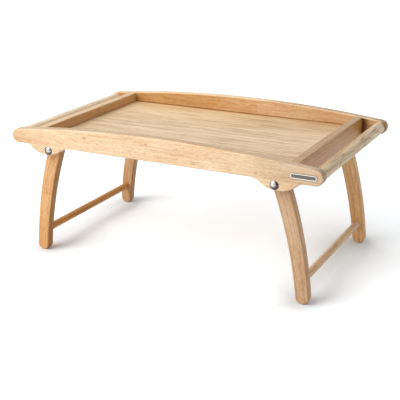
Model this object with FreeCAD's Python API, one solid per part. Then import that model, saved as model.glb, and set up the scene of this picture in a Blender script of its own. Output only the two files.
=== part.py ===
import FreeCAD, Part
import math
import os

# Folding bed tray table in solid wood, in millimetres.
# +X runs to the right along the tray, +Y to the back, +Z up.
# The origin is on the floor under the middle of the tray, with the legs open.

# Long side boards
board_length = 580.0
board_thickness = 17.0
tray_depth = 336.0        # over the outer faces of the two long boards
edge_height = 207.0       # straight lower edge of the boards above the floor
crown_rise = 40.8         # height of a board at mid length
nose_radius = 12.5        # full round at each end of a board
edge_bevel = 1.6          # broken edges of boards, walls and legs

# Lugs that carry the leg pivots
lug_drop = 9.0            # wood below the pivot axis
lug_radius = 50.0
lug_shift = 5.0           # middle of the lug outward of the pivot
lug_inner_blend = 28.0
lug_outer_blend = 12.0

# End walls and handle bars
wall_thickness = 17.0
wall_drop = 6.0           # below the boards' straight edge, behind the lugs
wall_height = 34.3
hand_gap = 21.0           # free gap between an end wall and its handle bar
handle_radius = 10.4
handle_tenon_radius = 6.0
handle_tenon_length = 10.0

# Tray bottom, thinned along its edges and held in a groove all round
panel_thickness = 4.5
tongue_thickness = 3.9    # the thinned edge, in the groove
shoulder_gap = 0.4        # full thickness to the boards and walls
panel_rise = 6.8          # underside of the bottom above the boards' lower edge
groove_depth = 4.5
groove_play = 0.2         # above the tongue
groove_end_gap = 0.5

# Legs: bowed, tapered, with a half-round foot
leg_thickness = 16.0
leg_top_width = 27.0
leg_foot_width = 22.8
leg_splay = 42.5          # foot outward of the pivot
leg_bow = 6.0             # outward bow of the centre line over its chord
leg_wall_gap = 3.5        # leg top to end wall
leg_panel_gap = 0.3       # round leg top to the underside of the tray bottom
heel_inner_x = 2.0        # where the flat heel ends, outward of the pivot
heel_lead_angle = 8.0     # where the round of the leg top begins, in degrees
heel_reach = 16.0         # the heel's outer corner is cut off at this distance from the pivot

# Stretchers
stretcher_height = 38.0
stretcher_radius = 6.5
stretcher_in_leg = 9.0    # each end let into its leg

# Pivot rivets with washers and caps
shank_radius = 3.0
head_radius = 7.5
head_rise = 3.3           # height of the dome
cap_radius = 7.0
cap_thickness = 3.4
cap_bore_depth = 2.2
washer_radius = 9.0
washer_thickness = 1.0

# Blind dowel pins between boards and end walls
pin_radius = 3.0
pin_flutes = 8            # flat sides of a fluted pin
pin_in_board = 10.0
pin_in_wall = 18.0
pin_margin = 5.5          # outer edge of a pin to the wall's top or bottom

# Bare plate on the front board
plate_length = 42.0
plate_height = 8.6
plate_thickness = 0.8
plate_corner = 3.2
plate_rim = 1.4
plate_recess = 0.3
plate_inset = 31.0        # middle of the plate in from the board's end

# Fits
turning_fit = 0.05        # radial, rivet shank in what it passes through
glue_fit = 0.05           # radial, tenons and pins in their sockets
side_play = 0.2           # each side of a leg along its rivet
socket_end_gap = 0.5

# Places that follow from the sizes above
outer_y = tray_depth / 2
inner_y = outer_y - board_thickness
nose_x = board_length / 2 - nose_radius
nose_height = edge_height + nose_radius
wall_outer_x = nose_x - handle_radius - hand_gap
wall_inner_x = wall_outer_x - wall_thickness
wall_middle_x = wall_outer_x - wall_thickness / 2
wall_underside = edge_height - wall_drop
panel_underside = edge_height + panel_rise
groove_top = panel_underside + tongue_thickness + groove_play
pivot_x = wall_inner_x - leg_wall_gap - leg_top_width / 2
pivot_height = panel_underside - leg_panel_gap - leg_top_width / 2
leg_outer_y = inner_y - washer_thickness - side_play
leg_inner_y = leg_outer_y - leg_thickness

UP = FreeCAD.Vector(0, 0, 1)
BACK = FreeCAD.Vector(0, 1, 0)
RIGHT = FreeCAD.Vector(1, 0, 0)
ORIGIN = FreeCAD.Vector(0, 0, 0)


def point(x, z):
    """A point of an outline drawn in the XZ plane."""
    return FreeCAD.Vector(x, 0, z)


def line(start, end):
    return Part.LineSegment(start, end).toShape()


def arc(start, middle, end):
    return Part.Arc(start, middle, end).toShape()


def arc_about(centre, radius, start, end):
    """The short arc from start to end round a centre."""
    toward = (start - centre) + (end - centre)
    toward.normalize()
    return arc(start, centre + toward * radius, end)


def plate_of(edges, front_y, back_y):
    """A plate with the outline in XZ, from one Y to another."""
    face = Part.Face(Part.Wire(edges))
    face.translate(BACK * front_y)
    return face.extrude(BACK * (back_y - front_y))


def break_edges(solid):
    """Bevel the edges that lie in a plate's two broad faces."""
    flat = [edge for edge in solid.Edges if edge.BoundBox.YLength < 0.001]
    return solid.makeChamfer(edge_bevel, flat)


def rod(radius, x, z, start_y, end_y):
    """A round rod or bore parallel to Y."""
    return Part.makeCylinder(radius, end_y - start_y, FreeCAD.Vector(x, start_y, z), BACK)


def pin(radius, x, z, start_y, end_y):
    """A fluted pin, or its hole, parallel to Y: a prism with flat sides."""
    centre = FreeCAD.Vector(x, start_y, z)
    turns = [2 * math.pi * flute / pin_flutes for flute in range(pin_flutes + 1)]
    corners = [centre + point(math.cos(turn), math.sin(turn)) * radius for turn in turns]
    return Part.Face(Part.makePolygon(corners)).extrude(BACK * (end_y - start_y))


def block(x0, x1, y0, y1, z0, z1):
    corner = FreeCAD.Vector(x0, y0, z0)
    return Part.makeBox(x1 - x0, y1 - y0, z1 - z0, corner)


def to_back(shape):
    return shape.mirror(ORIGIN, BACK)


def to_left(shape):
    return shape.mirror(ORIGIN, RIGHT)


# Side boards

def lug_points():
    """Centre of the lug's round, and each blend's centre and two tangent points."""
    lug_x = pivot_x + lug_shift
    centre = point(lug_x, pivot_height - lug_drop + lug_radius)
    blends = []
    for side, radius in ((-1, lug_inner_blend), (1, lug_outer_blend)):
        height = edge_height - radius
        reach = lug_radius + radius
        across = math.sqrt(reach ** 2 - (centre.z - height) ** 2)
        blend_centre = point(lug_x + side * across, height)
        on_edge = point(blend_centre.x, edge_height)
        on_lug = centre + (blend_centre - centre) * (lug_radius / reach)
        blends.append((blend_centre, radius, on_edge, on_lug))
    return centre, blends


def arch_radius():
    """Radius of the boards' top, tangent to both noses and to the crown height."""
    below_crown = nose_radius - crown_rise
    spread = nose_radius ** 2 - below_crown ** 2 - nose_x ** 2
    return spread / (2 * (below_crown + nose_radius))


def arch_end():
    """Where the arched top runs into the nose."""
    arch_centre = point(0, edge_height + crown_rise - arch_radius())
    nose_centre = point(nose_x, nose_height)
    outward = nose_centre - arch_centre
    outward.normalize()
    return nose_centre + outward * nose_radius


def board_end(flip):
    """Outline from the straight lower edge round lug and nose to the arch."""
    centre, blends = lug_points()
    (inner_centre, inner_radius, inner_start, inner_end) = blends[0]
    (outer_centre, outer_radius, outer_end, outer_start) = blends[1]
    nose_start = point(nose_x, edge_height)
    nose_tip = point(nose_x + nose_radius, nose_height)
    edges = [
        arc_about(inner_centre, inner_radius, inner_start, inner_end),
        arc(inner_end, centre - UP * lug_radius, outer_start),
        arc_about(outer_centre, outer_radius, outer_start, outer_end),
        line(outer_end, nose_start),
        arc(nose_start, nose_tip, arch_end()),
    ]
    if flip:
        edges = [to_left(edge) for edge in edges]
    return edges


def side_board():
    """The front board, with its groove, sockets, pin holes and rivet bores."""
    lower = lug_points()[1][0][2]
    crown = point(0, edge_height + crown_rise)
    top = arch_end()
    edges = [line(point(-lower.x, lower.z), lower)]
    edges += board_end(False)
    edges.append(arc(top, crown, point(-top.x, top.z)))
    edges += board_end(True)
    board = plate_of(Part.__sortEdges__(edges), -outer_y, -inner_y)
    board = break_edges(board)
    groove_x = wall_inner_x + groove_depth
    cuts = [block(-groove_x, groove_x, -inner_y - groove_depth, -inner_y + 1,
                  panel_underside, groove_top)]
    for side in (-1, 1):
        socket = rod(handle_tenon_radius + glue_fit, side * nose_x, nose_height,
                     -inner_y - handle_tenon_length - socket_end_gap, -inner_y + 1)
        bore = rod(shank_radius + turning_fit, side * pivot_x, pivot_height,
                   -outer_y - 1, -inner_y + 1)
        cuts += [socket, bore]
        for height in pin_heights():
            cuts.append(pin(pin_radius + glue_fit, side * wall_middle_x, height,
                            -inner_y - pin_in_board - socket_end_gap, -inner_y + 1))
    return board.cut(cuts)


# End walls, tray bottom and handle bars

def pin_heights():
    from_edge = pin_margin + pin_radius
    return (wall_underside + from_edge, wall_underside + wall_height - from_edge)


def end_wall():
    """The right end wall, between the two boards."""
    wall = block(wall_inner_x, wall_outer_x, -inner_y, inner_y,
                 wall_underside, wall_underside + wall_height)
    long_edges = [edge for edge in wall.Edges if edge.BoundBox.YLength > inner_y]
    wall = wall.makeChamfer(edge_bevel, long_edges)
    cuts = [block(wall_inner_x - 1, wall_inner_x + groove_depth, -inner_y - 1, inner_y + 1,
                  panel_underside, groove_top)]
    for height in pin_heights():
        hole = pin(pin_radius + glue_fit, wall_middle_x, height,
                   -inner_y - 1, -inner_y + pin_in_wall + socket_end_gap)
        cuts += [hole, to_back(hole)]
    return wall.cut(cuts)


def wall_pins():
    """The two fluted pins at the right front corner."""
    return [pin(pin_radius, wall_middle_x, height, -inner_y - pin_in_board, -inner_y + pin_in_wall)
            for height in pin_heights()]


def tray_bottom():
    """The tongue that runs in the groove, and the full thickness inside the rim."""
    half_x = wall_inner_x + groove_depth - groove_end_gap
    half_y = inner_y + groove_depth - groove_end_gap
    tongue = block(-half_x, half_x, -half_y, half_y,
                   panel_underside, panel_underside + tongue_thickness)
    floor_x = wall_inner_x - shoulder_gap
    floor_y = inner_y - shoulder_gap
    floor = block(-floor_x, floor_x, -floor_y, floor_y,
                  panel_underside, panel_underside + panel_thickness)
    return tongue.fuse(floor).removeSplitter()


def handle_bar():
    """The right handle bar, with a thinner tenon turned on each end."""
    bar = rod(handle_radius, nose_x, nose_height, -inner_y, inner_y)
    reach = inner_y + handle_tenon_length
    tenons = rod(handle_tenon_radius, nose_x, nose_height, -reach, reach)
    return bar.fuse(tenons).removeSplitter()


# Leg frames

def leg_centre_line():
    """Centre and radius of the arc that the leg's centre line follows."""
    top = point(pivot_x, pivot_height)
    foot = point(pivot_x + leg_splay, leg_foot_width / 2)
    chord = foot - top
    radius = (chord.Length ** 2 / 4 + leg_bow ** 2) / (2 * leg_bow)
    outward = point(-chord.z, chord.x)
    outward.normalize()
    centre = (top + foot) * 0.5 - outward * (radius - leg_bow)
    return centre, radius


def on_centre_line(height):
    """Point of the leg's centre line at a height, and the outward normal there."""
    centre, radius = leg_centre_line()
    x = centre.x + math.sqrt(radius ** 2 - (height - centre.z) ** 2)
    outward = point(x, height) - centre
    outward.normalize()
    return point(x, height), outward


def leg_outline():
    """Outline of the right legs: bowed flanks, half-round foot, round top with a flat heel."""
    foot_height = leg_foot_width / 2
    heights = (pivot_height, (pivot_height + foot_height) / 2, foot_height)
    half_widths = (leg_top_width / 2, (leg_top_width + leg_foot_width) / 4, leg_foot_width / 2)
    outer = []
    inner = []
    for height, half_width in zip(heights, half_widths):
        middle, outward = on_centre_line(height)
        outer.append(middle + outward * half_width)
        inner.append(middle - outward * half_width)
    foot, foot_outward = on_centre_line(foot_height)
    foot_tip = foot + point(foot_outward.z, -foot_outward.x) * foot_height

    pivot, outward = on_centre_line(pivot_height)
    along = point(-outward.z, outward.x)
    round_radius = leg_top_width / 2
    heel_low = outer[0] + along * math.sqrt(heel_reach ** 2 - round_radius ** 2)
    heel_rise = panel_underside - pivot_height
    heel_high = pivot + point(math.sqrt(heel_reach ** 2 - heel_rise ** 2), heel_rise)
    heel_end = point(pivot_x + heel_inner_x, panel_underside)
    lead = math.radians(heel_lead_angle)
    round_start = pivot + point(-math.sin(lead), math.cos(lead)) * round_radius
    return [
        arc(outer[0], outer[1], outer[2]),
        arc(outer[2], foot_tip, inner[2]),
        arc(inner[2], inner[1], inner[0]),
        arc_about(pivot, round_radius, inner[0], round_start),
        line(round_start, heel_end),
        line(heel_end, heel_high),
        line(heel_high, heel_low),
        line(heel_low, outer[0]),
    ]


def leg():
    """The right front leg, bored for its rivet and with a blind stretcher socket."""
    blank = plate_of(leg_outline(), -leg_outer_y, -leg_inner_y)
    blank = break_edges(blank)
    rail = on_centre_line(stretcher_height)[0]
    bore = rod(shank_radius + turning_fit, pivot_x, pivot_height, -outer_y, 0)
    socket = rod(stretcher_radius + glue_fit, rail.x, rail.z,
                 -leg_inner_y - stretcher_in_leg - socket_end_gap, 0)
    return blank.cut([bore, socket])


def stretcher():
    rail = on_centre_line(stretcher_height)[0]
    reach = leg_inner_y + stretcher_in_leg
    return rod(stretcher_radius, rail.x, rail.z, -reach, reach)


# Pivot hardware, at the right front

def domed_head():
    """The rivet's head on the XY plane: a dome in two cones."""
    top = point(0, head_rise)
    rim = point(head_radius, 0)
    ball = (head_radius ** 2 + head_rise ** 2) / (2 * head_rise)
    half_angle = math.asin(head_radius / ball) / 2
    crest = top + point(ball * math.sin(half_angle), -ball * (1 - math.cos(half_angle)))
    edges = [
        line(point(0, 0), rim),
        line(rim, crest),
        line(crest, top),
        line(top, point(0, 0)),
    ]
    return Part.Face(Part.Wire(edges)).revolve(ORIGIN, UP, 360)


def rivet():
    """Domed head against the board, shank through board, washer and leg into the cap."""
    head = domed_head()
    head.rotate(ORIGIN, RIGHT, 90)
    head.translate(FreeCAD.Vector(pivot_x, -outer_y, pivot_height))
    shank_end = -leg_inner_y + side_play + cap_bore_depth - socket_end_gap
    shank = rod(shank_radius, pivot_x, pivot_height, -outer_y, shank_end)
    return head.fuse(shank).removeSplitter()


def rivet_cap():
    """Cap on the leg's inner face, bored for the end of the shank."""
    cap_y = -leg_inner_y + side_play
    cap = rod(cap_radius, pivot_x, pivot_height, cap_y, cap_y + cap_thickness)
    bore = rod(shank_radius + glue_fit, pivot_x, pivot_height, cap_y - 1, cap_y + cap_bore_depth)
    return cap.cut(bore)


def washer():
    ring = rod(washer_radius, pivot_x, pivot_height, -inner_y, -inner_y + washer_thickness)
    bore = rod(shank_radius + turning_fit, pivot_x, pivot_height, -outer_y, 0)
    return ring.cut(bore)


# Bare plate

def panel_at_plate(margin, front_y, back_y):
    """A flat block over the plate's place, less a margin all round."""
    middle_x = board_length / 2 - plate_inset
    half_length = plate_length / 2 - margin
    half_height = plate_height / 2 - margin
    return block(middle_x - half_length, middle_x + half_length, front_y, back_y,
                 nose_height - half_height, nose_height + half_height)


def front_plate():
    """A thin plate with rounded corners, a raised rim and a plain sunk field."""
    plate = panel_at_plate(0, -outer_y - plate_thickness, -outer_y)
    corners = [edge for edge in plate.Edges if edge.BoundBox.YLength > plate_thickness / 2]
    plate = plate.makeFillet(plate_corner, corners)
    field = panel_at_plate(plate_rim, -outer_y - 2 * plate_thickness,
                           -outer_y - plate_thickness + plate_recess)
    return plate.cut(field)


def all_parts():
    """Every node's name and shape."""
    board = side_board()
    wall = end_wall()
    bar = handle_bar()
    rail = stretcher()
    shapes = {
        "front_side_board": board,
        "back_side_board": to_back(board),
        "right_end_wall": wall,
        "left_end_wall": to_left(wall),
        "tray_bottom": tray_bottom(),
        "right_handle_bar": bar,
        "left_handle_bar": to_left(bar),
        "right_stretcher": rail,
        "left_stretcher": to_left(rail),
        "front_plate": front_plate(),
    }
    front_leg = leg()
    back_leg = to_back(front_leg)
    shapes["right_front_leg"] = front_leg
    shapes["right_back_leg"] = back_leg
    shapes["left_front_leg"] = to_left(front_leg)
    shapes["left_back_leg"] = to_left(back_leg)
    fasteners = {
        "pivot_rivets": [rivet()],
        "rivet_caps": [rivet_cap()],
        "spacer_washers": [washer()],
        "wall_pins": wall_pins(),
    }
    for name, front in fasteners.items():
        pair = Part.makeCompound(front + [to_back(shape) for shape in front])
        shapes["right_" + name] = pair
        shapes["left_" + name] = to_left(pair)
    return shapes


def main():
    os.makedirs("parts", exist_ok=True)
    for name, shape in all_parts().items():
        shape.exportStep("parts/" + name + ".step")


main()
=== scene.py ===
import math

import bmesh
import bpy
from bpy.props import FloatProperty, FloatVectorProperty, IntProperty, PointerProperty
from mathutils import Matrix, Vector


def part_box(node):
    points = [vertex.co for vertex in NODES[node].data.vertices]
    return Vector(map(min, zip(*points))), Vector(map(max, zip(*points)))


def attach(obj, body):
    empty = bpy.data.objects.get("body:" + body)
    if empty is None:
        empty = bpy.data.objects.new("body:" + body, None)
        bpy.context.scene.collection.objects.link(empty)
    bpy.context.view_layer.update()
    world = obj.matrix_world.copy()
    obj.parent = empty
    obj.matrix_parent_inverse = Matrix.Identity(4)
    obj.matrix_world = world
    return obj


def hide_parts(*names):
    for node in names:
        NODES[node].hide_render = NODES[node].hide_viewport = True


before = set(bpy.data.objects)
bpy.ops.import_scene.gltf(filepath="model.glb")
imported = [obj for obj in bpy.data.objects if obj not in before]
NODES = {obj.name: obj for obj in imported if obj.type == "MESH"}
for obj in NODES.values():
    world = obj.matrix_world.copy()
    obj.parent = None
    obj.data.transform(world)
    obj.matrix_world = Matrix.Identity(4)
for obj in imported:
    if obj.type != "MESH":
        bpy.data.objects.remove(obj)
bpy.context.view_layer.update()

bl_info = {
    "name": "Bed tray table",
    "version": (1, 0, 0),
    "blender": (4, 5, 0),
    "location": "View3D > Sidebar > Bed Tray",
    "description": "Dresses the folding bed tray table in wood and metal, and sets its studio",
    "category": "Object",
}

SIDES = ("left", "right")
ENDS = ("front", "back")

# Places on the table, in metres. Those along X and Y hold on both sides of its middle.
BOARD_INNER, BOARD_OUTER = 0.1510, 0.1680  # faces of a side board, along Y
WALL_INNER, WALL_OUTER = 0.2290, 0.2460  # faces of an end wall, along X
WALL_EDGE = 0.2340  # height at which an end wall's rounded top begins
FLOOR_TOP = 0.2186  # height of the tray bottom's top
PIVOT_X, PIVOT_Z = 0.2121, 0.2000  # pivot of a leg frame
BAR_X, BAR_Z = 0.2775, 0.2195  # middle line of a handle bar
MIDDLE = 0.01  # half the width of a change from side to side

# The bowed middle line of a leg, from its pivot down to its foot.
LEG_DROP = 0.1886  # how far the line goes down
LEG_SPLAY = 0.0425  # how far it goes outwards
LEG_BOW = 0.0240  # how strongly it bows
LEG_JOINT = 0.112  # height of the glued joint in the left front leg

# Small knots in the front board: place along X, height and radius.
KNOTS = ((-0.1349, 0.2323, 0.0042), (-0.0149, 0.2358, 0.0030),
         (0.0731, 0.2155, 0.0040), (0.1806, 0.2149, 0.0030))

# How long, wide and thick the marks in the wood are, in metres.
PATCH = (0.065, 0.017, 0.017)
STREAK = (0.150, 0.0030, 0.0030)
DASH = (0.0105, 0.0010, 0.0010)
FIBRE = (0.016, 0.0005, 0.0005)
PORE = (0.0060, 0.0005, 0.0005)
RING = (0.150, 0.013, 0.013)
RING_TURNS = 64.0  # radians of growth lines from ring noise 0 to 1
SEAM = 0.0005  # half the width of a glued seam
RELIEF = 0.00012  # depth of the grain as it is felt

# How strongly a block's tone, the patches, the fibre and the seams show in all wood.
TONE_SHARE, PATCH_SHARE, FIBRE_SHARE, SEAM_SHARE = 0.35, 0.80, 0.50, 0.30
PORE_SHARE = 0.45  # how dark the pores are
PORE_FROM, PORE_TO = 0.62, 0.72  # noise from which pores begin, and are full

# Lines that are laid as waves, in radians for each metre.
GROWTH = 2600.0  # growth lines of the handle bars, 2.4 mm apart
TURNING = 22000.0  # turning marks of the rivets, 0.3 mm apart

# How meshes are worked.
ALONG_Y = (math.pi / 2, 0, 0)  # turns the axis of a primitive from Z to Y
SAME_CORNER = 0.000002  # corners of a CAD mesh this near are one corner
SAME_FACE = math.radians(0.3)  # faces of a CAD mesh this flat are one face
BEVEL_ANGLES = (math.radians(35), math.radians(58))  # a CAD bevel's edges lie between these
SHARP = 1.0  # angle of an edge to be broken, in radians
SQUARELY = 0.99  # how squarely a picked face looks along Y
SMOOTH_ANGLE = math.radians(32)  # edges below this angle are shaded smooth
DOME_RINGS = 96  # rings of the ball that a dome is cut from
ON_PLANE = 0.000001  # how near a corner on a cutting plane is to it
CUT_WITHIN = 0.0000001  # how exactly a cut is made
SHOULDER = 0.98  # share of a bar's radius outside which its shoulder is
PLATE_CORNER = 0.0032  # radius of the plate's corners


# ------------------------------------------------ sizes and colours

def painted(name, description, red, green, blue):
    """A colour property whose default is given as a monitor shows it, 0 to 255."""
    linear = []
    for part in (red, green, blue):
        part /= 255
        linear.append(part / 12.92 if part <= 0.04045 else ((part + 0.055) / 1.055) ** 2.4)
    return FloatVectorProperty(name=name, description=description, subtype="COLOR",
                               size=3, min=0, max=1, default=linear)


def measure(name, description, metres):
    """A length property."""
    return FloatProperty(name=name, description=description, unit="LENGTH",
                         subtype="DISTANCE", min=0, precision=5, default=metres)


def share(name, description, amount, highest=1.0):
    """A property for a strength, with none at 0."""
    return FloatProperty(name=name, description=description, subtype="FACTOR",
                         min=0, max=highest, default=amount)


def mark(name, amount):
    """A property for how strongly a mark in the wood shows."""
    return share(name.capitalize(), f"How strongly the {name} show", amount, 4)


def angle(name, description, degrees):
    """An angle property whose default is given in degrees."""
    return FloatProperty(name=name, description=description, subtype="ANGLE",
                         default=math.radians(degrees))


def middle(node):
    """The middle of a CAD node's box."""
    low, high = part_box(node)
    return (low + high) / 2


def reach(node, axis):
    """How far a CAD node reaches along X, Y or Z, as 0, 1 or 2."""
    low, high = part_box(node)
    return high[axis] - low[axis]


class TraySizes(bpy.types.PropertyGroup):
    """Roundings and small sizes of the dressed pieces"""
    edge_round: measure("Edge rounding", "Width worked off each side of a bevelled edge", 0.00105)
    round_steps: IntProperty(name="Rounding steps", description="Faces across a rounded edge",
                             min=1, max=8, default=3)
    bar_sides: IntProperty(name="Bar sides", description="Faces round a bar or rivet",
                           min=16, max=128, default=64)
    bar_radius: measure("Handle radius", "Radius of a handle bar",
                        reach("right_handle_bar", 2) / 2)
    bar_tenon: measure("Handle tenon radius", "Radius of the tenon on a handle bar", 0.006)
    bar_edge: measure("Handle edge", "Broken edge at a handle bar's shoulder", 0.0006)
    stretcher_radius: measure("Stretcher radius", "Radius of a stretcher",
                              reach("right_stretcher", 2) / 2)
    stretcher_edge: measure("Stretcher edge", "Broken edge at a stretcher's ends", 0.0008)
    head_radius: measure("Rivet head radius", "Radius of a rivet's domed head",
                         reach("right_pivot_rivets", 0) / 2)
    head_rim: measure("Rivet head rim", "Straight rim below the dome", 0.0004)
    head_rise: measure("Rivet head rise", "Height of the dome above its rim", 0.0029)
    cap_radius: measure("Rivet cap radius", "Radius of the cap on a rivet's inner end",
                        reach("right_rivet_caps", 0) / 2)
    cap_rim: measure("Rivet cap rim", "Straight rim of the cap", 0.0017)
    cap_rise: measure("Rivet cap rise", "Height of the cap's dome", 0.0017)
    dome_edge: measure("Dome edge", "Broken edge round a dome", 0.0003)
    shank_radius: measure("Rivet shank radius", "Radius of a rivet's shank", 0.003)
    shank_sides: IntProperty(name="Rivet shank sides", description="Faces round a hidden shank",
                             min=8, max=64, default=32)
    plate_corner: measure("Plate corner radius", "Rounded corners of the bare plate",
                          PLATE_CORNER)
    plate_rim: measure("Plate rim", "Width of the plate's raised rim", 0.0014)
    plate_recess: measure("Plate recess", "Depth of the plate's plain field", 0.0003)
    plate_edge: measure("Plate edge", "Broken edge along the plate's rim", 0.00015)


class BoardFinish(bpy.types.PropertyGroup):
    """Wood of the long side boards"""
    light: painted("Light", "Palest wood", 252, 230, 192)
    middle: painted("Middle", "Usual wood", 245, 212, 173)
    dark: painted("Dark", "Darkest wood", 224, 178, 130)
    pore: painted("Pores", "Fine pores along the grain", 186, 134, 90)
    # The edges colour is painted shade: on the top edges, at the right ends and on the upper right
    # of the front face.
    edge: painted("Edges", "Duller wood of the top edges, in front and at the right", 212, 181, 147)
    # Honey is also painted shade in the corner of the right hand gap.
    honey: painted("Honey", "Browner block on the inner faces, to the left", 200, 147, 84)
    shade: painted("Shade", "Corners at the right bar and along the tray bottom", 172, 128, 74)
    tan: painted("Tan", "Browner block on the inner faces, to the right", 212, 168, 120)
    streaks: mark("streaks", 1.1)
    dashes: mark("short flecks", 1.25)
    rings: mark("growth lines", 0.10)
    gloss: share("Roughness", "Roughness of the lacquer", 0.46)


class WallFinish(bpy.types.PropertyGroup):
    """Wood of the end walls"""
    light: painted("Light", "Palest wood", 224, 181, 138)
    middle: painted("Middle", "Usual wood", 210, 164, 112)
    dark: painted("Dark", "Darkest wood", 176, 130, 88)
    pore: painted("Pores", "Fine pores along the grain", 140, 98, 62)
    pale: painted("Pale", "Paler wood on the left wall's top", 238, 202, 157)
    dull: painted("Dull", "Greyer wood on the right wall's top", 197, 160, 119)
    rosy: painted("Rosy", "Pinker wood on the right wall's outer face", 212, 168, 124)
    # Umber is browner wood on the left wall and painted shade at the back of the right wall's outer
    # face.
    umber: painted("Umber", "Browner wood, at its back and on the left wall", 198, 148, 84)
    streaks: mark("streaks", 1.0)
    dashes: mark("short flecks", 1.0)
    rings: mark("growth lines", 0.16)
    gloss: share("Roughness", "Roughness of the lacquer", 0.48)


class FloorFinish(bpy.types.PropertyGroup):
    """Wood of the tray bottom"""
    light: painted("Light", "Palest wood", 244, 222, 190)
    middle: painted("Middle", "Usual wood", 232, 204, 166)
    dark: painted("Dark", "Darkest wood", 204, 168, 124)
    # Warm is painted shade at the back right and along the back board, and browner staves at the
    # left.
    warm: painted("Warm", "Warmer staves, at the back right and at the left", 218, 182, 136)
    golden: painted("Golden", "Yellower staves at the back left", 243, 210, 162)
    # Dull is painted shade at the front right, not duller staves.
    dull: painted("Dull", "Duller staves at the front right", 213, 182, 145)
    pore: painted("Pores", "Fine lines along the grain", 170, 130, 90)
    streaks: mark("streaks", 2.5)
    dashes: mark("short flecks", 0.7)
    rings: mark("short streaks", 1.5)
    gloss: share("Roughness", "Roughness of the lacquer", 0.42)


class LegFinish(bpy.types.PropertyGroup):
    """Wood of the legs and stretchers"""
    light: painted("Light", "Palest honey wood", 240, 194, 138)
    middle: painted("Middle", "Usual honey wood", 224, 170, 112)
    dark: painted("Dark", "Darkest honey wood", 196, 138, 82)
    pore: painted("Pores", "Fine pores along the grain", 154, 102, 58)
    rosy: painted("Rosy", "Pinker wood of the right front leg", 206, 166, 127)
    # Brown is painted shade of the tray on the left back leg.
    brown: painted("Brown", "Browner wood of the left back leg", 206, 160, 112)
    umber: painted("Umber", "Darker wood of the left stretcher and of the feet", 206, 146, 78)
    # Shade is painted shade on the inner faces of the left legs, not darker wood.
    shade: painted("Shade", "Darkest wood, inside the left legs", 168, 116, 56)
    pale: painted("Pale", "Paler wood of the right stretcher", 229, 191, 151)
    streaks: mark("streaks", 1.8)
    dashes: mark("short flecks", 0.9)
    rings: mark("growth lines", 0.25)
    gloss: share("Roughness", "Roughness of the lacquer", 0.45)


class HandleFinish(bpy.types.PropertyGroup):
    """Wood of the handle bars"""
    light: painted("Light", "Palest wood", 246, 222, 184)
    middle: painted("Middle", "Usual wood", 224, 197, 162)
    dark: painted("Dark", "Dark growth lines", 180, 149, 113)
    pore: painted("Pores", "Fine pores along the grain", 132, 102, 76)
    pale: painted("Pale", "Paler wood of the left bar", 240, 218, 186)
    # Golden is a painted lit stripe along the top of the right bar, not yellower wood.
    golden: painted("Golden", "Yellower wood along the top of the right bar", 206, 170, 122)
    streaks: mark("streaks", 0.9)
    dashes: mark("short flecks", 0.8)
    rings: mark("growth lines", 0.36)
    gloss: share("Roughness", "Roughness of the lacquer", 0.44)


class MetalFinish(bpy.types.PropertyGroup):
    """Metal of the rivets and of the plate"""
    bright: painted("Bright metal", "Polished middle of the rivets", 190, 186, 180)
    # This colour is mostly a painted dark reflection round the rivets' rim, and random dull
    # patches.
    tarnish_and_dark_reflection: painted("Tarnish", "Darker edge of the rivets", 62, 54, 48)
    bright_gloss: share("Bright roughness", "Roughness of the rivets", 0.14)
    plate: painted("Plate", "Plate's rim", 232, 228, 220)
    # The field colour also paints the shadow on the plate's sides and round its edge.
    field: painted("Plate field", "Plate's darker sunk field and sides", 104, 97, 90)
    scratch: painted("Scratches", "Dark brushed lines on the plate", 89, 89, 87)
    plate_gloss: share("Plate roughness", "Roughness of the plate", 0.34)


class StudioSizes(bpy.types.PropertyGroup):
    """Camera, light and ground"""
    azimuth: angle("Camera azimuth", "Round to the right of the front", 28.08)
    elevation: angle("Camera elevation", "Angle above the ground", 19.85)
    roll: angle("Camera roll", "Tilt of the picture", 0.75)
    distance: measure("Camera distance", "From the camera to the aimed point", 1.6028)
    aim_right: FloatProperty(name="Aim right", description="Aimed point in the picture's plane",
                             unit="LENGTH", default=-0.00563)
    aim_up: FloatProperty(name="Aim up", description="Aimed point in the picture's plane",
                          unit="LENGTH", default=0.0830)
    lens: FloatProperty(name="Lens", description="Focal length on a 36 mm sensor",
                        unit="CAMERA", min=1, default=77.36)
    key_power: FloatProperty(name="Key light", description="Power of the key lamp", min=0,
                             unit="POWER", default=52.0)
    key_way: FloatVectorProperty(name="Key direction", description="From the tray to the key lamp",
                                 subtype="XYZ", default=(-0.48, -0.62, 0.62))
    key_side: measure("Key size", "Side of the square key lamp", 1.9)
    key_distance: measure("Key distance", "From the key lamp to the tray", 2.8)
    fill_strength: FloatProperty(name="Fill light", description="Strength of the even fill",
                                 min=0, default=0.58)
    room_glow: share("Room glow", "Light of the room as metal mirrors it", 0.12)
    soft_box: share("Soft box", "Light of the soft box as metal mirrors it", 0.9)
    ground_radius: measure("Ground radius", "How far the ground reaches", 14.0)
    ground: painted("Ground", "Colour of the ground", 220, 220, 220)
    seen_ground: painted("Seen ground", "Colour of the ground in the picture", 243, 248, 252)
    ground_lift: share("Ground lift", "Light added to the ground in the picture", 0.46)
    far_lift: share("Far lift", "Further light added to the far ground", 0.6)
    far_from: measure("Far from", "Where the far ground begins, from the middle", 0.45)
    far_to: measure("Far to", "Where the far ground is brightest, from the middle", 1.60)
    shadow_reach: measure("Shadow reach", "How far a foot darkens the ground round it", 0.15)
    shadow_depth: share("Shadow depth", "How strongly a foot darkens the ground", 2.4, 6)


GROUPS = {
    "tray_sizes": TraySizes,
    "tray_boards": BoardFinish,
    "tray_walls": WallFinish,
    "tray_floor": FloorFinish,
    "tray_legs": LegFinish,
    "tray_handles": HandleFinish,
    "tray_metal": MetalFinish,
    "tray_studio": StudioSizes,
}


# ------------------------------------------------ shader writing

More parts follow.
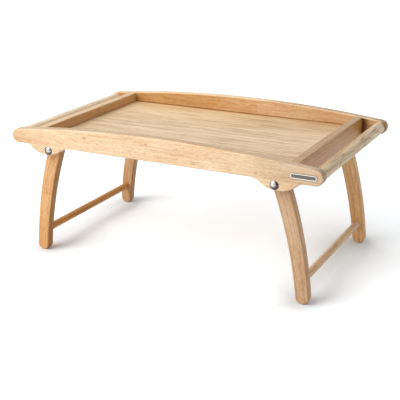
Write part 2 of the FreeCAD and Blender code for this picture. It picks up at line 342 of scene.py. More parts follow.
class Signal:
    """An output of a shader node. Arithmetic on it adds Math nodes."""

    def __init__(self, paint, node, output=0):
        self.paint = paint
        self.made_by = node
        self.socket = node.outputs[output]

    def __getitem__(self, output):
        return Signal(self.paint, self.made_by, output)

    def maths(self, operation, *terms):
        """A Math node on signals and numbers."""
        return self.paint.node("ShaderNodeMath", {"operation": operation},
                               dict(enumerate(terms)))

    def __add__(self, other):
        return self.maths("ADD", self, other)

    __radd__ = __add__

    def __sub__(self, other):
        return self.maths("SUBTRACT", self, other)

    def __rsub__(self, other):
        return self.maths("SUBTRACT", other, self)

    def __mul__(self, other):
        return self.maths("MULTIPLY", self, other)

    __rmul__ = __mul__

    def __truediv__(self, other):
        return self.maths("DIVIDE", self, other)

    def __pow__(self, other):
        return self.maths("POWER", self, other)

    def whole(self):
        """The whole number below."""
        return self.maths("FLOOR", self)

    def rest(self):
        """What the whole number below leaves."""
        return self.maths("FRACT", self)

    def size(self):
        """The value without its sign."""
        return self.maths("ABSOLUTE", self)

    def most(self, other):
        """The greater of two values."""
        return self.maths("MAXIMUM", self, other)

    def least(self, other):
        """The smaller of two values."""
        return self.maths("MINIMUM", self, other)

    def wave(self):
        """A sine, moved to 0 to 1."""
        return self.maths("SINE", self) * 0.5 + 0.5

    def rise(self, low, high):
        """0 at low, 1 at high, smooth between them and level beyond. It falls where low is
        the greater of the two."""
        return self.paint.node("ShaderNodeMapRange", {"interpolation_type": "SMOOTHSTEP"},
                               {"Value": self, "From Min": low, "From Max": high})

    def positive(self):
        """1 on the positive side of the table's middle, and 0 on the other."""
        return self.rise(-MIDDLE, MIDDLE)


def away(across, up):
    """How far a point is from a middle, given how far it is across and up."""
    return (across ** 2.0 + up ** 2.0) ** 0.5


class Paint:
    """The node tree of a material or of a world, and the nodes that are added to it."""

    def __init__(self, owner):
        owner.use_nodes = True
        self.owner = owner
        self.tree = owner.node_tree
        self.tree.nodes.clear()

    def node(self, kind, settings=None, sockets=None):
        """Adds a node, sets its settings, then fills or links its sockets."""
        made = self.tree.nodes.new(kind)
        for setting, value in (settings or {}).items():
            setattr(made, setting, value)
        for socket, value in (sockets or {}).items():
            if isinstance(value, Signal):
                self.tree.links.new(value.socket, made.inputs[socket])
            else:
                made.inputs[socket].default_value = value
        return Signal(self, made) if made.outputs else made

    def mix(self, first, second, amount, how="MIX"):
        """Two colours mixed. A colour is a signal or three numbers."""
        first, second = (c if isinstance(c, Signal) else (*c, 1.0) for c in (first, second))
        return self.node("ShaderNodeMix", {"data_type": "RGBA", "blend_type": how},
                         {0: amount, 6: first, 7: second})[2]

    def join(self, x, y, z):
        """A vector from its three parts."""
        return self.node("ShaderNodeCombineXYZ", None, {0: x, 1: y, 2: z})

    def split(self, vector):
        """The three parts of a vector."""
        parts = self.node("ShaderNodeSeparateXYZ", None, {0: vector})
        return parts[0], parts[1], parts[2]

    def place(self):
        """Object coordinates, in metres."""
        return self.node("ShaderNodeTexCoord")["Object"]

    def chance(self, x, y, z=0.0):
        """The same random number from 0 to 1 for the same three numbers."""
        return self.node("ShaderNodeTexWhiteNoise", {"noise_dimensions": "3D"},
                         {"Vector": self.join(x, y, z)})

    def cloud(self, grain, lump, detail, seed, twist=0.0):
        """Noise with lumps of the given size, in metres along, across and through the grain."""
        place = self.node("ShaderNodeVectorMath", {"operation": "MULTIPLY_ADD"},
                          {0: grain, 1: [1 / part for part in lump], 2: (seed, seed, seed)})
        return self.node("ShaderNodeTexNoise", {"noise_dimensions": "3D"},
                         {"Vector": place, "Scale": 1.0, "Detail": detail,
                          "Roughness": 0.5, "Distortion": twist})

    def bump(self, height, depth, strength):
        """A normal bent by a height from 0 to 1, which stands for a depth in metres."""
        return self.node("ShaderNodeBump", None,
                         {"Height": height, "Distance": depth, "Strength": strength})

    def surface(self, sockets):
        """Ends a material with its shader, and returns it."""
        shader = self.node("ShaderNodeBsdfPrincipled", None, sockets)
        self.node("ShaderNodeOutputMaterial", None, {"Surface": shader})
        return self.owner


def new_paint(name):
    """A new material, ready to be painted, and the X, Y and Z of its surface."""
    paint = Paint(bpy.data.materials.new(name))
    return (paint, *paint.split(paint.place()))


def blocks(paint, along, across, long, wide, seed):
    """Glued blocks: each block's random tone, and how near its seams are, as two signals."""
    row = (across / wide).whole()
    step = along / long + paint.chance(row, seed) * 9.0  # each row starts at its own place
    tone = paint.chance(row, step.whole(), seed)
    long_seam = (0.5 - ((across / wide).rest() - 0.5).size()) * wide
    cross_seam = (0.5 - (step.rest() - 0.5).size()) * long
    return tone, 1 - long_seam.rise(0.0, SEAM) * cross_seam.rise(0.0, SEAM)


def timber(paint, grain, finish, seed, tone=0.5, seam=0.0, knots=0.0, tints=(), figure=None):
    """Oiled pale wood. Grain is a vector in metres: along, across and through the fibres.
    Figure takes the place of the growth lines. Each tint is a colour that the usual wood
    takes on, and where it does."""
    patches = paint.cloud(grain, PATCH, 2.0, seed)
    streaks = paint.cloud(grain, STREAK, 2.0, seed + 3.1, 0.3)
    dashes = paint.cloud(grain, DASH, 1.0, seed + 5.7)
    fibre = paint.cloud(grain, FIBRE, 2.0, seed + 8.3)
    pores = paint.cloud(grain, PORE, 0.0, seed + 2.2).rise(PORE_FROM, PORE_TO)
    if figure is None:
        figure = (paint.cloud(grain, RING, 1.0, seed + 1.9, 0.8) * RING_TURNS).wave()
    # Shade 0 is the palest wood, 0.5 the usual one and 1 the darkest.
    shade = seam * SEAM_SHARE + 0.5
    for noise, strength in ((tone, TONE_SHARE), (patches, PATCH_SHARE), (fibre, FIBRE_SHARE),
                            (streaks, finish.streaks), (dashes, finish.dashes),
                            (figure, finish.rings)):
        shade = shade + (noise - 0.5) * strength
    wood = paint.mix(finish.light, finish.middle, shade * 2.0)
    wood = paint.mix(wood, finish.dark, shade * 2.0 - 1.0)
    wood = paint.mix(wood, finish.pore, pores * PORE_SHARE)
    for tint, amount in tints:
        change = [new / usual for new, usual in zip(tint, finish.middle)]
        wood = paint.mix(wood, change, amount, "MULTIPLY")
    # Knots in the pore colour; the tray bottom passes its painted shade along the rim here.
    wood = paint.mix(wood, finish.pore, knots)
    height = fibre * 0.5 + streaks * 0.4 - dashes * 0.5 - pores * 0.8 - seam * 0.6
    return paint.surface({
        "Base Color": wood,
        "Roughness": finish.gloss - 0.08 + 0.10 * streaks + 0.10 * dashes + 0.10 * pores,
        "Normal": paint.bump(height, RELIEF, 0.6),
        "Specular IOR Level": 0.4,
    })


# ------------------------------------------------ the finishes

def board_wood(finish):
    """Side boards: blocks along X, browner inner faces, and small knots in front."""
    paint, x, y, z = new_paint("Board wood")
    depth = y.size()
    tone, seam = blocks(paint, x, z - 0.1975, long=0.135, wide=0.0265, seed=2.0)
    # Tone darkens to the right along X: painted shade of the light falling off, laid over each
    # block's random tone.
    tone = tone * 0.6 + x * 0.4 + 0.2
    back = y.positive()
    front_face = y.rise(0.0017 - BOARD_OUTER, 0.0005 - BOARD_OUTER)
    inside = depth.rise(BOARD_INNER + 0.0008, BOARD_INNER - 0.0002)
    edge = (depth.rise(BOARD_INNER + 0.0008, BOARD_INNER + 0.0020)
            * depth.rise(BOARD_OUTER - 0.0008, BOARD_OUTER - 0.0020))
    back_edge = edge * back
    nose = depth.rise(BOARD_INNER + 0.0022, BOARD_INNER + 0.0010) * x.rise(0.276, 0.284)
    hand_gap = inside * x.rise(WALL_OUTER - 0.006, WALL_OUTER)
    tray_floor = (z.rise(FLOOR_TOP + 0.0018, FLOOR_TOP)
                  * x.size().rise(WALL_INNER, WALL_INNER - 0.0002))
    joint = x.rise(0.0400, 0.0406)
    knots = 0.0
    for along, up, radius in KNOTS:  # each drawn out along the grain
        far = ((x - along) ** 2.0 * 0.35 + (z - up) ** 2.0) ** 0.5
        knots = far.rise(radius, radius * 0.25) + knots
    grain = paint.join(x, z, y)
    figure = paint.cloud(grain, (0.030, 0.0040, 0.0040), 2.0, 9.0)
    tints = (
        # Top edges: painted shade in front, at the right ends and along the back to the right, and
        # a painted highlight on the back edge at the left.
        (finish.edge, edge * (1 - back)),
        (finish.edge, edge * x.rise(0.262, 0.284)),
        (finish.light, back_edge * x.rise(0.110, 0.050)),
        (finish.edge, back_edge * x.rise(0.050, 0.130)),
        # Inner faces: two brown blocks that meet at the joint.
        (finish.honey, inside * (1 - joint) * (0.55 - x.rise(-0.10, 0.03) * 0.2 + figure * 0.9)),
        (finish.tan, inside * joint * (x.rise(0.10, 0.20) * 0.3 + 0.3 + figure * 0.9)),
        # Shade along the tray bottom, in the corner of the right hand gap and behind the bar.
        (finish.shade, inside * tray_floor),
        (finish.shade, hand_gap * (1 - x.rise(0.249, 0.262) * 0.7)),
        (finish.shade, hand_gap * x.rise(0.258, 0.247)),
        # Honey brown here deepens the painted shade in the corner.
        (finish.honey, hand_gap * x.rise(0.262, 0.248)),
        (finish.shade, nose * back),
        # Outer face in front: browner at the left end, painted shade at the upper right.
        (finish.honey, front_face * (x.rise(-0.19, -0.24) * 0.20
                                     + x.rise(-0.245, -0.275) * 0.18)),
        (finish.edge, front_face * x.rise(0.130, 0.235) * z.rise(0.196, 0.215) * 0.75),
    )
    return timber(paint, grain, finish, 1.0, tone, seam, knots * front_face * 0.5, tints)


def wall_wood(finish):
    """End walls: blocks along Y, with tops and a right outer face of other tones."""
    paint, x, y, z = new_paint("Wall wood")
    tone, seam = blocks(paint, y + 0.03, x.size() + z, long=0.16, wide=0.031, seed=6.0)
    top = z.rise(WALL_EDGE, WALL_EDGE + 0.0012)
    right = x.positive()
    outer = x.rise(WALL_OUTER - 0.0025, WALL_OUTER - 0.0005) * (1 - top)
    left_top = top * (1 - right)
    tints = (
        # Outer face of the right wall: browner wood towards the back, with painted shade deepening
        # into the corner at the back.
        (finish.rosy, outer),
        (finish.umber, outer * y.rise(-0.02, 0.14)),
        (finish.umber, outer * y.rise(0.100, 0.140)),
        (finish.umber, outer * y.rise(0.125, 0.150)),
        # Left wall, below its top.
        (finish.umber, (1 - right) * (1 - top) * 0.35),
        # Tops: pale on the left, dull on the right.
        (finish.pale, left_top),
        (finish.umber, left_top * y.rise(0.04, 0.15) * 0.5),
        (finish.dull, top * right),
    )
    return timber(paint, paint.join(y, z, x), finish, 14.0, tone, seam, tints=tints)


def floor_wood(finish):
    """Tray bottom: long narrow staves along X, with painted shade along its rim."""
    paint, x, y, z = new_paint("Floor wood")
    tone, seam = blocks(paint, x, y + 0.01, long=0.30, wide=0.0215, seed=4.0)
    # Painted shade where the tray bottom meets the boards and walls, deepest at the back.
    rim = (y.size().rise(BOARD_INNER - 0.0075, BOARD_INNER - 0.0002) ** 2.0
           + x.size().rise(WALL_INNER - 0.0055, WALL_INNER) ** 2.0
           + y.rise(BOARD_INNER - 0.0025, BOARD_INNER - 0.0010) * 0.4)
    tints = (
        # The warm colour at the back right and along the back board is painted shade; at the left
        # it is browner staves.
        (finish.warm, y.rise(0.02, 0.14) * x.rise(-0.05, 0.17) * 0.8),
        (finish.golden, y.rise(0.00, 0.12) * x.rise(0.12, -0.05)),
        (finish.warm, x.rise(-0.12, -0.22) * 0.4),
        (finish.warm, y.rise(0.140, 0.149)),
        # Painted shade at the front right, in the dull colour.
        (finish.dull, y.rise(-0.02, -0.13) * x.rise(0.02, 0.20)),
    )
    figure = paint.cloud(paint.join(x, y, z), (0.050, 0.0040, 0.0040), 1.0, 31.0)
    grain = paint.join(x * 0.6, y * 1.1, z)  # longer and narrower marks than elsewhere
    return timber(paint, grain, finish, 23.0, tone, seam, rim * 0.6, tints, figure)


def leg_wood(finish):
    """Legs: the grain follows each bowed leg, and one of them has a glued joint."""
    paint, x, y, z = new_paint("Leg wood")
    right, rear = x.positive(), y.positive()
    left = 1 - right
    left_front = left * (1 - rear)
    down = (PIVOT_Z - z) / LEG_DROP
    across = x.size() - (PIVOT_X + LEG_SPLAY * down + LEG_BOW * down * (1 - down))
    grain = paint.join(z + right * 0.37 + rear * 0.61, across, y)  # of its own in each leg
    above_joint = z - LEG_JOINT
    seam = (1 - above_joint.size().rise(0.0002, 0.0009)) * left_front
    tone = above_joint.rise(-0.0002, 0.0002) * left_front * 0.3 + 0.35
    facing = paint.split(paint.node("ShaderNodeTexCoord")["Normal"])[0]
    inner_face = facing.rise(0.55, 0.80) * left
    tints = (
        (finish.rosy, right * (1 - rear)),
        # The left back leg's brown is painted shade under the tray.
        (finish.brown, left * rear),
        # The right back leg's lighter colour is painted light.
        (finish.light, right * rear * 0.55),
        # Painted shade on the inner faces of the left legs, under the tray, less on the back leg.
        (finish.shade, inner_face * (0.8 - rear * 0.5)),
        (finish.umber, z.rise(0.12, 0.03) * 0.3),
    )
    return timber(paint, grain, finish, 37.0, tone, seam * 2.0, tints=tints)


def stretcher_wood(finish):
    """Stretchers: grain along Y, without blocks, the left one darker."""
    paint, x, y, z = new_paint("Stretcher wood")
    right = x.positive()
    tints = ((finish.umber, 1 - right), (finish.pale, right))
    return timber(paint, paint.join(y, z, x), finish, 51.0, tints=tints)


def handle_wood(finish):
    """Handle bars: growth lines cut at a slant, bold in the right bar, faint in the left one."""
    paint, x, y, z = new_paint("Handle wood")
    right = x.positive()
    left = 1 - right
    out = x.size() - BAR_X
    up = z - BAR_Z
    grain = paint.join(y, z, x)
    heart = away(out + y * 0.05 + 0.008, up + 0.012)  # from the heart of the trunk
    waver = paint.cloud(grain, (0.060, 0.010, 0.010), 1.0, 65.0)
    lines = (heart * GROWTH + waver * 9.0).wave() ** 3.0
    lit = (up - out * 0.8).rise(0.0088, 0.0112)
    tints = (
        (finish.pale, left),
        (finish.pale, y.rise(0.00, 0.13) * 0.7 * right),
        # Painted light: a yellow lit stripe along the top of the right bar.
        (finish.golden, lit * y.rise(0.10, 0.03) * right),
    )
    return timber(paint, grain, finish, 64.0, tints=tints,
                  figure=lines * (1 - left * 0.8) + 0.15)


def pin_wood(finish):
    """Dowel pins: plain pale wood along Y."""
    paint, x, y, z = new_paint("Pin wood")
    return timber(paint, paint.join(y, z, x), finish, 77.0)


def bright_metal(finish):
    """Polished metal with a painted dark reflection round an off-centre painted highlight, random
    dull patches, and faint turning marks.
    """
    paint, x, _, z = new_paint("Bright metal")
    rivet = middle("right_pivot_rivets")
    out, up = x.size() - rivet.x, z - rivet.z
    # The dark rim is a painted dark reflection, off centre so that a painted highlight stays up and
    # towards the middle of the table.
    edge = away(out + 0.0014, up - 0.0022).rise(0.0020, 0.0068)
    dull = paint.cloud(paint.place(), (0.004, 0.004, 0.004), 3.0, 2.0)
    turned = (away(out, up) * TURNING).wave()
    return paint.surface({
        "Base Color": paint.mix(finish.bright, finish.tarnish_and_dark_reflection,
                                edge * 0.92 + dull.rise(0.5, 0.8) * 0.3),
        "Metallic": 1.0,
        "Roughness": finish.bright_gloss + 0.08 * dull + 0.10 * edge,
        "Normal": paint.bump(turned, 0.00001, 0.15),
    })


def plate_metal(finish):
    """Plate: bright rim with painted shadow round its edge, darker sunk field, brushed along X."""
    paint, x, y, z = new_paint("Plate metal")
    brushed = paint.cloud(paint.place(), (0.0120, 0.0004, 0.0002), 3.0, 4.0)
    centre, face = middle("front_plate"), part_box("front_plate")[0].y
    # The field colour on the plate's sides, and in a line round its edge, is painted shadow; in the
    # sunk field it is the plate's own colour.
    sunk = (y - face).rise(0.00016, 0.00024)
    wide = (x - centre.x).size() - (reach("front_plate", 0) / 2 - PLATE_CORNER)
    tall = (z - centre.z).size() - (reach("front_plate", 2) / 2 - PLATE_CORNER)
    shadow_outline = away(wide.most(0.0), tall.most(0.0)).rise(0.0026, 0.0029)
    colour = paint.mix(finish.plate, finish.field, sunk.most(shadow_outline))
    return paint.surface({
        "Base Color": paint.mix(colour, finish.scratch, brushed.rise(0.5, 0.85) * 0.25),
        "Metallic": 1.0,
        "Roughness": finish.plate_gloss - 0.1 + 0.18 * brushed + 0.1 * sunk,
        "Normal": paint.bump(brushed, 0.00003, 0.4),
    })


MAKERS = {
    "board": (board_wood, "tray_boards"),
    "wall": (wall_wood, "tray_walls"),
    "floor": (floor_wood, "tray_floor"),
    "leg": (leg_wood, "tray_legs"),
    "stretcher": (stretcher_wood, "tray_legs"),
    "handle": (handle_wood, "tray_handles"),
    "pin": (pin_wood, "tray_floor"),
    "bright": (bright_metal, "tray_metal"),
    "plate": (plate_metal, "tray_metal"),
}
MATERIALS = {}


def material(scene, name):
    """A finish of the table. Each is made once."""
    if name not in MATERIALS:
        make, group = MAKERS[name]
        MATERIALS[name] = make(getattr(scene, group))
    return MATERIALS[name]


# ------------------------------------------------ modelling by hand

def take(*pieces):
    """Selects these objects and nothing else. The first becomes active."""
    if bpy.context.object and bpy.context.object.mode != "OBJECT":
        bpy.ops.object.mode_set(mode="OBJECT")
    bpy.ops.object.select_all(action="DESELECT")
    for piece in pieces:
        piece.select_set(True)
    bpy.context.view_layer.objects.active = pieces[0]


def open_mesh(piece):
    """Enters edit mode."""
    take(piece)
    bpy.ops.object.mode_set(mode="EDIT")


def close_mesh():
    """Leaves edit mode."""
    bpy.ops.object.mode_set(mode="OBJECT")


def pick(piece, kind, test):
    """Selects the faces or the edges of the edited piece that pass a test."""
    bpy.ops.mesh.select_all(action="DESELECT")
    bpy.ops.mesh.select_mode(type="FACE" if kind == "faces" else "EDGE")
    mesh = bmesh.from_edit_mesh(piece.data)
    found = [part for part in getattr(mesh, kind) if test(part)]
    if not found:
        raise RuntimeError(f"no {kind} found on {piece.name}")
    for part in found:
        part.select_set(True)
    mesh.select_flush_mode()
    bmesh.update_edit_mesh(piece.data)


def round_edges(piece, width, steps, test, **settings):
    """Rounds the edges of the edited piece that pass a test."""
    pick(piece, "edges", test)
    bpy.ops.mesh.bevel(offset=width, segments=steps, affect="EDGES", **settings)


def draw_out(distance):
    """Extrudes the picked faces along Y."""
    bpy.ops.mesh.extrude_region_move(TRANSFORM_OT_translate={"value": (0, distance, 0)})


def is_sharp(edge):
    """Whether an edge is one to be broken."""
    return edge.calc_face_angle(0) > SHARP


def new_piece(name, add, **settings):
    """Adds a primitive at its size and place, and gives it its name."""
    bpy.ops.object.select_all(action="DESELECT")
    add(**settings)
    piece = bpy.context.object
    piece.name = piece.data.name = name
    bpy.ops.object.transform_apply(location=True, rotation=True, scale=True)
    return piece


def new_rod(name, sides, radius, length, centre):
    """Adds a cylinder along Y."""
    return new_piece(name, bpy.ops.mesh.primitive_cylinder_add, vertices=sides, radius=radius,
                     depth=length, location=centre, rotation=ALONG_Y)


def domed_disc(name, sizes, x, z, face_y, outward, radius, rim, rise):
    """A domed disc on a face: a cap cut from a ball, drawn out by its rim, its edge softened."""
    ball = (radius ** 2 + rise ** 2) / (2 * rise)
    cut = face_y + outward * rim
    piece = new_piece(name, bpy.ops.mesh.primitive_uv_sphere_add, segments=sizes.bar_sides,
                      ring_count=DOME_RINGS, radius=ball, rotation=ALONG_Y,
                      location=(x, cut + outward * (rise - ball), z))
    open_mesh(piece)
    bpy.ops.mesh.select_all(action="SELECT")
    bpy.ops.mesh.bisect(plane_co=(x, cut, z), plane_no=(0, outward, 0), use_fill=True,
                        clear_inner=True, threshold=CUT_WITHIN)
    pick(piece, "faces", lambda face: face.normal.y * outward < -SQUARELY)
    draw_out(-outward * rim)
    round_edges(piece, sizes.dome_edge, 3,
                lambda edge: all(abs(corner.co.y - cut) < ON_PLANE for corner in edge.verts))
    close_mesh()
    return piece


def joined(name, pieces):
    """Several worked meshes as one piece."""
    take(*pieces)
    bpy.ops.object.join()
    piece = bpy.context.object
    piece.name = piece.data.name = name
    return piece


# ------------------------------------------------ dressing

def dress(piece, made_of, body, node):
    """Smooth shading, finish and place of a piece: its body and the node it stands for."""
    take(piece)
    bpy.ops.object.shade_smooth_by_angle(angle=SMOOTH_ANGLE)
    bpy.ops.object.modifier_add(type="WEIGHTED_NORMAL")
    piece.modifiers[-1].keep_sharp = True
    bpy.ops.object.modifier_apply(modifier=piece.modifiers[-1].name)
    piece.data.materials.clear()
    piece.data.materials.append(made_of)
    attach(piece, body)
    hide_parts(node)


def dress_softened(scene, node, name, made_of, body):
    """A merged copy of a CAD node takes its place, with each 45 degree bevel worked round."""
    mesh = NODES[node].data.copy()
    mesh.materials.clear()
    mesh.name = name
    piece = bpy.data.objects.new(name, mesh)
    bpy.context.collection.objects.link(piece)
    open_mesh(piece)
    bpy.ops.mesh.select_all(action="SELECT")
    bpy.ops.mesh.remove_doubles(threshold=SAME_CORNER)
    bpy.ops.mesh.customdata_custom_splitnormals_clear()
    bpy.ops.mesh.dissolve_limited(angle_limit=SAME_FACE)
    low, high = BEVEL_ANGLES
    round_edges(piece, scene.tray_sizes.edge_round, scene.tray_sizes.round_steps,
                lambda edge: len(edge.link_faces) == 2 and low < edge.calc_face_angle(0) < high,
                clamp_overlap=True)
    close_mesh()
    dress(piece, made_of, body, node)


def refinish(node, made_of):
    """A CAD node keeps its shape and gets a finish."""
    for place in NODES[node].material_slots:
        place.material = made_of


# ------------------------------------------------ operators

class TRAY_OT_side_boards(bpy.types.Operator):
    """Make the two long side boards with their soft edges"""
    bl_idname = "tray.side_boards"
    bl_label = "Side boards"

    def execute(self, context):
        wood = material(context.scene, "board")
        for end in ENDS:
            dress_softened(context.scene, end + "_side_board", end + "_board", wood,
                           "tray")
        return {"FINISHED"}


class TRAY_OT_end_walls(bpy.types.Operator):
    """Make the two end walls with their soft edges"""
    bl_idname = "tray.end_walls"
    bl_label = "End walls"

    def execute(self, context):
        wood = material(context.scene, "wall")
        for side in SIDES:
            dress_softened(context.scene, side + "_end_wall", side + "_wall", wood,
                           "tray")
        return {"FINISHED"}


class TRAY_OT_tray_bottom(bpy.types.Operator):
    """Finish the tray bottom and the hidden dowel pins"""
    bl_idname = "tray.tray_bottom"
    bl_label = "Tray bottom and pins"

    def execute(self, context):
        refinish("tray_bottom", material(context.scene, "floor"))
        for side in SIDES:
            refinish(side + "_wall_pins", material(context.scene, "pin"))
        return {"FINISHED"}


class TRAY_OT_handle_bars(bpy.types.Operator):
    """Turn the two handle bars with their tenons"""
    bl_idname = "tray.handle_bars"
    bl_label = "Handle bars"

    def execute(self, context):
        sizes = context.scene.tray_sizes
        half = -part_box("front_side_board")[1].y
        for side in SIDES:
            node = side + "_handle_bar"
            centre = middle(node)
            tenon = reach(node, 1) / 2 - half
            piece = new_rod(side + "_handle", sizes.bar_sides, sizes.bar_radius, 2 * half, centre)
            open_mesh(piece)
            for end in (-1, 1):
                pick(piece, "faces", lambda face: face.normal.y * end > SQUARELY)
                bpy.ops.mesh.inset(thickness=sizes.bar_radius - sizes.bar_tenon)
                draw_out(end * tenon)
            shoulder = sizes.bar_radius * SHOULDER
            round_edges(piece, sizes.bar_edge, 3, lambda edge: is_sharp(edge) and all(
                math.hypot(corner.co.x - centre.x, corner.co.z - centre.z) > shoulder
                for corner in edge.verts))
            close_mesh()
            dress(piece, material(context.scene, "handle"), "tray", node)
        return {"FINISHED"}


class TRAY_OT_legs(bpy.types.Operator):
    """Make the four bowed legs with their soft edges"""
    bl_idname = "tray.legs"
    bl_label = "Legs"

    def execute(self, context):
        wood = material(context.scene, "leg")
        for side in SIDES:
            for end in ENDS:
                leg = f"{side}_{end}_leg"
                dress_softened(context.scene, leg, leg + "_wood", wood,
                               side + "_leg_frame")
        return {"FINISHED"}


class TRAY_OT_stretchers(bpy.types.Operator):
    """Turn the round stretchers of the two leg frames"""
    bl_idname = "tray.stretchers"
    bl_label = "Stretchers"

    def execute(self, context):
        sizes = context.scene.tray_sizes
        for side in SIDES:
            node = side + "_stretcher"
            piece = new_rod(side + "_rail", sizes.bar_sides, sizes.stretcher_radius,
                            reach(node, 1), middle(node))
            open_mesh(piece)
            round_edges(piece, sizes.stretcher_edge, 2, is_sharp)
            close_mesh()
            dress(piece, material(context.scene, "stretcher"),
                  side + "_leg_frame", node)
        return {"FINISHED"}


class TRAY_OT_rivets(bpy.types.Operator):
    """Make the domed rivets, their inner caps and the washers"""
    bl_idname = "tray.rivets"
    bl_label = "Rivets, caps and washers"

    def execute(self, context):
        sizes = context.scene.tray_sizes
        metal = material(context.scene, "bright")
        board_face = -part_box("front_side_board")[0].y
        for side in SIDES:
            centre = middle(side + "_pivot_rivets")
            cap_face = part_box(side + "_rivet_caps")[1].y
            inner = cap_face - sizes.cap_rim / 2
            heads, caps = [], []
            for end in (-1, 1):
                heads.append(domed_disc("head", sizes, centre.x, centre.z, end * board_face, end,
                                        sizes.head_radius, sizes.head_rim, sizes.head_rise))
                heads.append(new_rod("shank", sizes.shank_sides, sizes.shank_radius,
                                     board_face - inner,
                                     (centre.x, end * (board_face + inner) / 2, centre.z)))
                caps.append(domed_disc("cap", sizes, centre.x, centre.z, end * cap_face, -end,
                                       sizes.cap_radius, sizes.cap_rim, sizes.cap_rise))
            for name, parts, node in (("_rivets", heads, "_pivot_rivets"),
                                      ("_caps", caps, "_rivet_caps")):
                dress(joined(side + name, parts), metal, "tray", side + node)
            refinish(side + "_spacer_washers", metal)
        return {"FINISHED"}


class TRAY_OT_plate(bpy.types.Operator):
    """Make the bare plate with its raised rim"""
    bl_idname = "tray.plate"
    bl_label = "Bare plate"

    def execute(self, context):
        sizes = context.scene.tray_sizes
        low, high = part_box("front_plate")
        half_thick = (high.y - low.y) / 2
        piece = new_piece("bare_plate", bpy.ops.mesh.primitive_cube_add, size=1,
                          location=(low + high) / 2, scale=high - low)
        open_mesh(piece)
        round_edges(piece, sizes.plate_corner, 6,
                    lambda edge: abs(edge.verts[0].co.y - edge.verts[1].co.y) > half_thick)
        pick(piece, "faces", lambda face: face.normal.y < -SQUARELY)
        bpy.ops.mesh.inset(thickness=sizes.plate_rim)
        draw_out(sizes.plate_recess)
        round_edges(piece, sizes.plate_edge, 2, lambda edge: is_sharp(edge) and all(
            corner.co.y < low.y + ON_PLANE for corner in edge.verts))
        close_mesh()
        dress(piece, material(context.scene, "plate"), "tray", "front_plate")
        return {"FINISHED"}


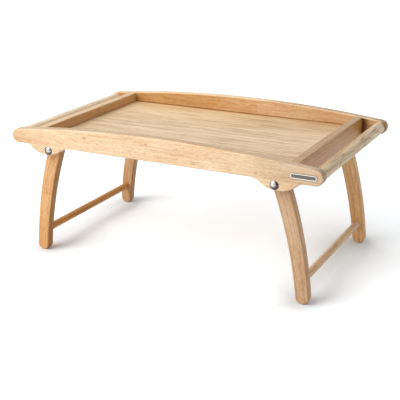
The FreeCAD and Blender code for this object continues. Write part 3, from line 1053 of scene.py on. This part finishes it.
class TRAY_OT_studio(bpy.types.Operator):
    """Lay the white ground, hang the lamp and set the camera"""
    bl_idname = "tray.studio"
    bl_label = "Studio"

    def execute(self, context):
        scene = context.scene
        studio = scene.tray_studio
        scene.view_settings.view_transform = "Standard"
        self.ground(studio)
        self.world(scene, studio)
        self.key(studio)
        self.camera(scene, studio)
        return {"FINISHED"}

    def ground(self, studio):
        """A plain grey ground, which the camera, metal and glass see as white, shaded where
        something stands close to it."""
        floor = new_piece("ground", bpy.ops.mesh.primitive_circle_add, vertices=96,
                          radius=studio.ground_radius, fill_type="NGON", location=(0, 0, 0))
        paint, x, y, _ = new_paint("Ground")
        plain = paint.node("ShaderNodeBsdfDiffuse", None, {"Color": (*studio.ground, 1.0)})
        shown = paint.node("ShaderNodeBsdfDiffuse", None, {"Color": (*studio.seen_ground, 1.0)})
        far = away(x, y).rise(studio.far_from, studio.far_to)
        clear = paint.node("ShaderNodeAmbientOcclusion", {"samples": 16},
                           {"Distance": studio.shadow_reach})["AO"]
        shadow = ((1 - clear) * studio.shadow_depth).least(studio.ground_lift)
        lift = paint.node("ShaderNodeEmission", None, {
            "Color": studio.ground_lift + far * studio.far_lift - shadow, "Strength": 1.0})
        lifted = paint.node("ShaderNodeAddShader", None, {0: shown, 1: lift})
        rays = paint.node("ShaderNodeLightPath")
        seen = rays["Is Camera Ray"].most(rays["Is Glossy Ray"]).most(rays["Is Transmission Ray"])
        surface = paint.node("ShaderNodeMixShader", None, {0: seen, 1: plain, 2: lifted})
        paint.node("ShaderNodeOutputMaterial", None, {"Surface": surface})
        floor.data.materials.append(paint.owner)

    def world(self, scene, studio):
        """An even fill, white behind the object, and a soft box that only metal mirrors."""
        scene.world = bpy.data.worlds.new("Studio air")
        paint = Paint(scene.world)

        def air(strength):
            return paint.node("ShaderNodeBackground", None,
                              {"Color": (1, 1, 1, 1), "Strength": strength})

        x, y, z = paint.split(paint.node("ShaderNodeTexCoord")["Generated"])
        soft_box = (z * 0.75 - x * 0.55 - y * 0.15).rise(-0.12, 0.42)  # high on the left
        room = air(soft_box * studio.soft_box + studio.room_glow)
        rays = paint.node("ShaderNodeLightPath")
        lit = paint.node("ShaderNodeMixShader", None,
                         {0: rays["Is Glossy Ray"], 1: air(studio.fill_strength), 2: room})
        seen = rays["Is Camera Ray"].most(rays["Is Transmission Ray"])
        shown = paint.node("ShaderNodeMixShader", None, {0: seen, 1: lit, 2: air(1.0)})
        paint.node("ShaderNodeOutputWorld", None, {"Surface": shown})

    def key(self, studio):
        """A square soft box high on the left, in front of the tray."""
        toward = Vector(studio.key_way).normalized()
        bpy.ops.object.select_all(action="DESELECT")
        bpy.ops.object.light_add(type="AREA", location=toward * studio.key_distance)
        lamp = bpy.context.object
        lamp.name = lamp.data.name = "key_light"
        lamp.rotation_euler = toward.to_track_quat("Z", "Y").to_euler()
        lamp.data.size = studio.key_side
        lamp.data.energy = studio.key_power

    def camera(self, scene, studio):
        """The camera looks from the photograph's angle, turned a little about its own axis."""
        turn, lift, roll = studio.azimuth, studio.elevation, studio.roll
        back = Vector((math.sin(turn) * math.cos(lift), -math.cos(turn) * math.cos(lift),
                       math.sin(lift)))
        right = Vector((math.cos(turn), math.sin(turn), 0))
        up = back.cross(right)
        right, up = (right * math.cos(roll) - up * math.sin(roll),
                     right * math.sin(roll) + up * math.cos(roll))
        aim = right * studio.aim_right + up * studio.aim_up
        bpy.ops.object.camera_add(location=aim + back * studio.distance)
        camera = bpy.context.object
        camera.name = camera.data.name = "camera"
        camera.rotation_mode = "QUATERNION"
        camera.rotation_quaternion = Matrix((right, up, back)).transposed().to_quaternion()
        camera.data.sensor_width = 36.0
        camera.data.lens = studio.lens
        camera.data.clip_start, camera.data.clip_end = 0.05, 60.0
        scene.camera = camera


OPERATORS = (TRAY_OT_side_boards, TRAY_OT_end_walls, TRAY_OT_tray_bottom, TRAY_OT_handle_bars,
             TRAY_OT_legs, TRAY_OT_stretchers, TRAY_OT_rivets, TRAY_OT_plate, TRAY_OT_studio)


class TRAY_PT_pieces(bpy.types.Panel):
    """The pieces of the bed tray table and the studio"""
    bl_label = "Bed tray table"
    bl_idname = "TRAY_PT_pieces"
    bl_space_type = "VIEW_3D"
    bl_region_type = "UI"
    bl_category = "Bed Tray"

    def draw(self, context):
        for operator in OPERATORS:
            self.layout.operator(operator.bl_idname)
        for group, kind in GROUPS.items():
            box = self.layout.box()
            box.label(text=kind.__doc__)
            for name in kind.__annotations__:
                box.prop(getattr(context.scene, group), name)


def register():
    for kind in (*GROUPS.values(), *OPERATORS, TRAY_PT_pieces):
        bpy.utils.register_class(kind)
    for name, kind in GROUPS.items():
        setattr(bpy.types.Scene, name, PointerProperty(type=kind))


def unregister():
    for name in GROUPS:
        delattr(bpy.types.Scene, name)
    for kind in reversed((*GROUPS.values(), *OPERATORS, TRAY_PT_pieces)):
        bpy.utils.unregister_class(kind)


def main():
    register()
    bpy.ops.tray.side_boards()
    bpy.ops.tray.end_walls()
    bpy.ops.tray.tray_bottom()
    bpy.ops.tray.handle_bars()
    bpy.ops.tray.legs()
    bpy.ops.tray.stretchers()
    bpy.ops.tray.rivets()
    bpy.ops.tray.plate()
    bpy.ops.tray.studio()


if __name__ == "__main__":
    main()
